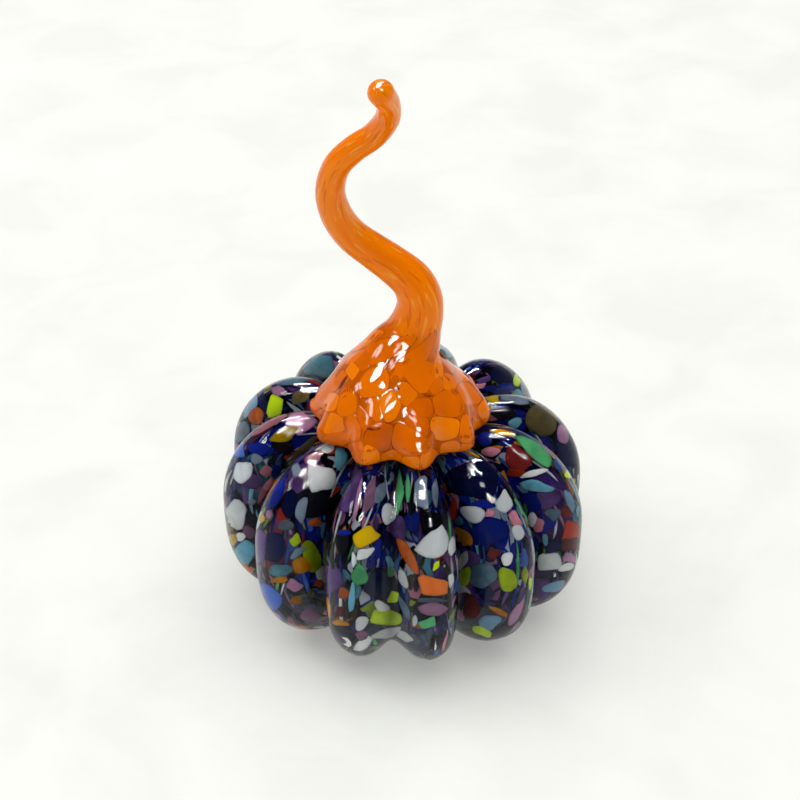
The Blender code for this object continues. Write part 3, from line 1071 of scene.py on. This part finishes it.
def makeStem():
    edge = list(capEdgeRings())
    upper = list(stemRings(edge[-1][:, 2]))
    rings = np.array(edge + upper[:-1])
    x, y = stem["line"][0][0] * mm, stem["line"][0][1] * mm
    seat = (x, y, crownHeight(math.hypot(x, y)) + stem["fuseGap"])
    vertices, faces = closedShell(rings, seat, upper[-1][0])
    faces = [face[::-1] for face in faces]
    rows, columns = rings.shape[:2]
    length = np.cumsum(np.append(0.0, np.linalg.norm(np.diff(rings.mean(1), axis=0), axis=1))) / mm
    around = np.append(np.tile(np.arange(columns) / columns, rows), [0.0, 0.0])
    along = np.append(np.repeat(length, columns), [0.0, length[-1]])
    piece = addPiece("stem_orange_glass", vertices, faces, stemMaterial(),
                     {"around": around, "along": along})
    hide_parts("stem")
    outside = rings[stem["undersideRows"] + 1:]
    return piece, Sheet(outside.transpose(1, 0, 2), False)


stemPiece, stemSheet = makeStem()
print("stem", len(stemPiece.data.polygons))

# Flakes of orange glass on the cap, which lie edge to edge with thin dark lines between them
flakes = {
    "seed": 5,
    "corners": 36,
    "rings": (1.0, 0.95, 0.88, 0.62, 0.3),
    "edges": (1.0, 0.9, 0.12, 0.0, 0.0),
    "thickness": 0.13 * mm,
    "frontThickness": (0.75, 1.15),
    "hiddenThickness": (0.7, 1.1),
    "sink": 0.012 * mm,
    "sinkShares": (0.6, 0.8),
    # How far a flake swells beyond its oval, how near it comes to the next, and how straight its
    # sides are between blunt corners
    "swell": 1.3,
    "gap": 1.08,
    "power": 9.0,
    "beside": 1.3,  # flakes farther apart than this leave each other alone
    # How far a corner may lie from the middle
    "slant": 0.0,
    "leeway": 14.0 * mm,
    # Place in the photograph, width and height there in pixels, and lean in degrees
    "front": (
        (406, 394, 20, 21, 0), (424, 378, 36, 28, 0), (421, 409, 30, 20, 10), (447, 403, 34, 34, 0),
        (444, 427, 34, 24, 0), (467, 394, 15, 42, 42), (469, 430, 20, 46, 0), (419, 425, 20, 26, 35),
        (409, 441, 70, 32, 0), (383, 437, 36, 28, 20), (346, 405, 18, 42, -6), (352, 426, 15, 36, 5),
        (364, 420, 11, 50, 0), (331, 402, 14, 28, -35), (334, 424, 26, 24, 0), (336, 438, 28, 14, 0),
        (356, 452, 16, 24, 0), (370, 456, 20, 22, 0), (374, 386, 24, 36, -20), (449, 384, 14, 20, 35),
        (450, 364, 9, 34, 42), (462, 374, 8, 34, 38), (486, 410, 14, 40, 15), (451, 449, 26, 14, 10),
        (467, 449, 16, 16, 0), (429, 459, 22, 18, 0), (410, 463, 26, 14, 0), (393, 457, 24, 14, 0),
        (334, 384, 10, 44, -38), (343, 378, 9, 50, -36), (352, 371, 10, 52, -36), (363, 362, 11, 52, -35),
        (316, 400, 14, 34, -28), (388, 405, 22, 40, -25), (437, 386, 14, 18, 20), (323, 420, 12, 26, 0),
        (376, 408, 16, 34, -8),
    ),
    # The little dark gaps, in the same way
    "gaps": (
        (432, 438, 5, 12, 10), (374, 428, 12, 4, 0), (397, 389, 5, 3, 0), (454, 392, 4, 7, 40),
        (386, 364, 2.5, 10, -30), (359, 397, 2, 15, 10), (343, 382, 3, 14, -35), (428, 395, 12, 3, -8),
        (345, 425, 2, 14, 15), (447, 378, 2, 9, 40),
    ),
    "gapThickness": 1.25,
    # The flakes that the photograph doesn't show, in millimetres and rows of the cap
    "tries": 900,
    "size": (3.6, 6.4),
    "frontSize": 4.0 * mm,
    "spacing": 0.45,
    "firstRow": 3,
    "reach": 40,
    "stretch": 2.2,
    "spread": 1.25,
    "lean": -12.0,
    # A flake's colour from its own tone and a cloud, and that of its thin edge
    "cloud": (180.0, 3.0, 0.8),
    "toneShares": (0.7, 0.3),
    "tones": [(0.1, (202, 86, 0)), (0.35, (226, 106, 0)), (0.6, (236, 116, 0)), (0.85, (250, 132, 0))],
    "thin": [(0.4, (120, 42, 2)), (0.55, (206, 92, 0))],
    "edgeSpan": (0.2, 0.85),
}


def ovalReach(width, height, lean, turn):
    turn = turn - np.radians(lean)
    return 1.0 / np.sqrt((np.cos(turn) / (0.5 * width)) ** 2 + (np.sin(turn) / (0.5 * height)) ** 2)


def flakeOutline(own, others):
    # Reach of a flake's edge by direction: its own oval, cut back by the flakes beside it
    turn = 2 * np.pi * np.arange(flakes["corners"]) / flakes["corners"]
    pull = (flakes["swell"] * ovalReach(*own, turn)) ** -flakes["power"]
    for gapX, gapY, width, height, lean in others:
        distance = math.hypot(gapX, gapY)
        facing = math.atan2(gapY, gapX)
        mine = ovalReach(*own, facing)
        theirs = ovalReach(width, height, lean, facing + np.pi)
        if 0 < distance < flakes["beside"] * (mine + theirs):
            limit = distance * mine / (mine + theirs) * flakes["gap"]
            pull += (np.maximum(np.cos(turn - facing), 0.0) / limit) ** flakes["power"]
    return turn, pull ** (-1.0 / flakes["power"])


def frontFlake(place, others):
    x, y = place[:2]
    turn, reach = flakeOutline(place[2:], [(near[0] - x, y - near[1], *near[2:]) for near in others])
    edge = zip(reach * np.cos(turn), -reach * np.sin(turn))
    return tracedPatch(flakes, stemSheet, x, y, edge)


def hiddenFlakes(front, random):
    # Flakes on the sides and back of the cap by a seeded rule, drawn longer towards the neck
    placed = [(point, flakes["frontSize"]) for point in front]
    count, first = len(stemSheet.points), flakes["firstRow"]
    widest = stemSheet.columnWidth[:, first].max()
    found = []
    for attempt in range(flakes["tries"]):
        column, row = random.uniform(0, count), random.uniform(first, flakes["reach"])
        whole = (int(column), int(row))
        if random.uniform() > stemSheet.columnWidth[whole] / widest:
            continue
        point = stemSheet.points[whole]
        size = random.uniform(*flakes["size"]) * mm
        gaps = [np.linalg.norm(point - near) / (size + wide) for near, wide in placed]
        if min(gaps) < flakes["spacing"]:
            continue
        placed.append((point, size))
        slim = math.sqrt(1.0 + flakes["stretch"] * row / flakes["reach"])
        size *= flakes["spread"]
        found.append((column, row, size / slim, size * slim, flakes["lean"]))
    for column, row, *own in found:
        whole = (int(column), int(row))
        wide, tall = stemSheet.columnWidth[whole], stemSheet.rowWidth[whole]
        others = []
        for near in found:
            shift = (near[0] - column + count / 2) % count - count / 2
            others.append((shift * wide, (near[1] - row) * tall, *near[2:]))
        turn, reach = flakeOutline(own, others)
        yield pebbleOn(
            flakes, stemSheet, column, row, reach * np.cos(turn), reach * np.sin(turn), flakes["sink"],
            flakes["thickness"] * random.uniform(*flakes["hiddenThickness"]))


def flakeMaterial():
    material, shader, wire = orangeMaterial("flaked_orange_glass")
    cloud = wire.noise(wire.place(), *flakes["cloud"])
    own, clouded = flakes["toneShares"]
    colour = wire.ramp(wire.attribute("tone") * own + cloud * clouded, flakes["tones"])
    thin = wire.ramp(cloud, flakes["thin"])
    edge = wire.between(wire.attribute("edge"), *flakes["edgeSpan"])
    connect(wire, shader, Base_Color=wire.mixed(edge, colour, thin))
    return material


def makeFlakes():
    random = np.random.default_rng(flakes["seed"])
    heap, fringe, front = Heap(), edgeLevels(flakes), []
    for place in flakes["front"]:
        points, normals, middle, middleNormal = frontFlake(
            place, [near for near in flakes["front"] if near is not place])
        front.append(middle)
        least, more = flakes["sinkShares"]
        sink = flakes["sink"] * (least + more * random.uniform())
        patch = (points - normals * sink, normals, middle - middleNormal * sink, middleNormal)
        thickness = flakes["thickness"] * random.uniform(*flakes["frontThickness"])
        heap.add(lens(flakes, patch, thickness), random.uniform(), fringe)
    for place in flakes["gaps"]:
        patch = frontFlake(place, [])
        shape = lens(flakes, patch, flakes["thickness"] * flakes["gapThickness"])
        heap.add(shape, 0.0, np.ones_like(fringe))
    for shape in hiddenFlakes(front, random):
        heap.add(shape, random.uniform(), fringe)
    addPiece("cap_flakes", np.vstack(heap.vertices), heap.faces, flakeMaterial(),
             {"tone": heap.tone, "edge": heap.edge})
    print("flakes", len(heap.vertices))


makeFlakes()

# Table, light and world
table = {
    "reach": 3.0,
    "paper": [(0.35, (215, 216, 211)), (0.6, (223, 224, 219))],
    "smudges": (34.0, 6.0, 0.5),
    "roughness": 0.8,
    "glow": 0.25,
    "glowColour": (253, 254, 249),
}


def makeTable():
    mesh = bpy.data.meshes.new("table_top")
    shape = bmesh.new()
    bmesh.ops.create_grid(shape, x_segments=8, y_segments=8, size=table["reach"])
    shape.to_mesh(mesh)
    shape.free()
    material, shader, wire = newMaterial(
        "white_table", Roughness=table["roughness"], Specular_IOR_Level=0.0,
        Emission_Strength=table["glow"], Emission_Color=paint(table["glowColour"]))
    smudges = wire.noise(wire.place(), *table["smudges"])
    connect(wire, shader, Base_Color=wire.ramp(smudges, table["paper"]))
    mesh.materials.append(material)
    top = bpy.data.objects.new("table_top", mesh)
    scene.collection.objects.link(top)


makeTable()

lamps = {
    # Bright panels on the ceiling, which only show as highlights: the two ends as x and y at a
    # height of 1, width and brightness
    "panels": (
        ((-0.17, -0.80), (0.30, -0.80), 0.28, 110.0),
        ((-0.47, 0.38), (0.03, -0.07), 0.11, 300.0),
        ((-0.67, 0.88), (-0.10, 0.92), 0.11, 260.0),
        ((-0.12, 0.39), (0.40, 0.91), 0.10, 260.0),
        ((-0.49, -0.20), (-0.49, 0.06), 0.30, 200.0),
        ((-1.25, -0.40), (-1.25, 0.20), 0.36, 30.0),
        ((-0.30, -0.50), (-0.06, -0.38), 0.18, 36.0),
    ),
    "panelEdge": 0.012,
    # The lamp of the soft shadow: place and width in metres, and power
    "soft": ((-0.78, 0.14, 0.95), 0.42, 2.3),
    "aim": (0.0, 0.0, 0.05),
    "room": (1.0, 1.0, 0.99, 1.0),
    # Light from the walls, how much more comes from the ceiling, and where that begins and is full
    "roomLight": 0.38,
    "ceiling": 1.82,
    "ceilingHeight": (0.68, 1.0),
    # More light on the glass under the clear skin, without a wider shadow on the table
    "fill": 0.45,
    # What the glass mirrors of the ceiling and of the walls, and where the one becomes the other
    "reflectedHigh": 0.05,
    "reflectedLow": 0.3,
    "wallHeight": (0.1, 0.5),
    "lowest": 0.02,
}


def makeLamp():
    place, width, power = lamps["soft"]
    light = bpy.data.lights.new("soft_lamp", "AREA")
    light.size = width
    light.energy = power
    lamp = bpy.data.objects.new("soft_lamp", light)
    lamp.location = place
    lamp.rotation_euler = (Vector(lamps["aim"]) - Vector(place)).to_track_quat("-Z", "Y").to_euler()
    lamp.visible_glossy = False
    scene.collection.objects.link(lamp)


def panelLight(wire, direction):
    # The panels' brightness by direction
    x, y, z = (wire.add("SeparateXYZ", None, {"Vector": direction}, axis) for axis in "XYZ")
    z = wire.maths("MAXIMUM", z, lamps["lowest"])
    x, y = x / z, y / z
    edge = lamps["panelEdge"]
    total = 0.0
    for (startX, startY), (endX, endY), width, brightness in lamps["panels"]:
        length = math.hypot(endX - startX, endY - startY)
        aheadX, aheadY = (endX - startX) / length, (endY - startY) / length
        fromX, fromY = x - (startX + endX) / 2, y - (startY + endY) / 2
        mask = brightness
        along, across = fromX * aheadX + fromY * aheadY, fromX * aheadY - fromY * aheadX
        for offset, half in ((along, length / 2), (across, width / 2)):
            distance = wire.maths("ABSOLUTE", offset)
            mask = (1 - wire.between(distance, half - edge, half + edge)) * mask
        total = mask + total
    return total


def makeWorld():
    # The room lights the ornament evenly, and the glass mirrors its dark ceiling and pale walls
    world = bpy.data.worlds.new("soft_room")
    world.use_nodes = True
    tree = world.node_tree
    wire = Wire(tree)
    direction = wire.add("TexCoord", output="Generated")
    height = wire.add("SeparateXYZ", None, {"Vector": direction}, "Z")
    through = wire.add("LightPath", output="Is Transmission Ray")
    mirrored = wire.add("LightPath", output="Is Glossy Ray") * (1 - through)
    wall = 1 - wire.between(height, *lamps["wallHeight"])
    reflected = lamps["reflectedHigh"] + (lamps["reflectedLow"] - lamps["reflectedHigh"]) * wall
    light = lamps["roomLight"] + lamps["ceiling"] * wire.between(height, *lamps["ceilingHeight"])
    mirror = mirrored * (reflected + panelLight(wire, direction) - light)
    strength = light + through * lamps["fill"] + mirror
    background = tree.nodes["Background"]
    background.inputs["Color"].default_value = lamps["room"]
    tree.links.new(strength.socket, background.inputs["Strength"])
    scene.world = world
    scene.view_settings.view_transform = "Standard"


makeWorld()
makeLamp()
print("table and lamps made")
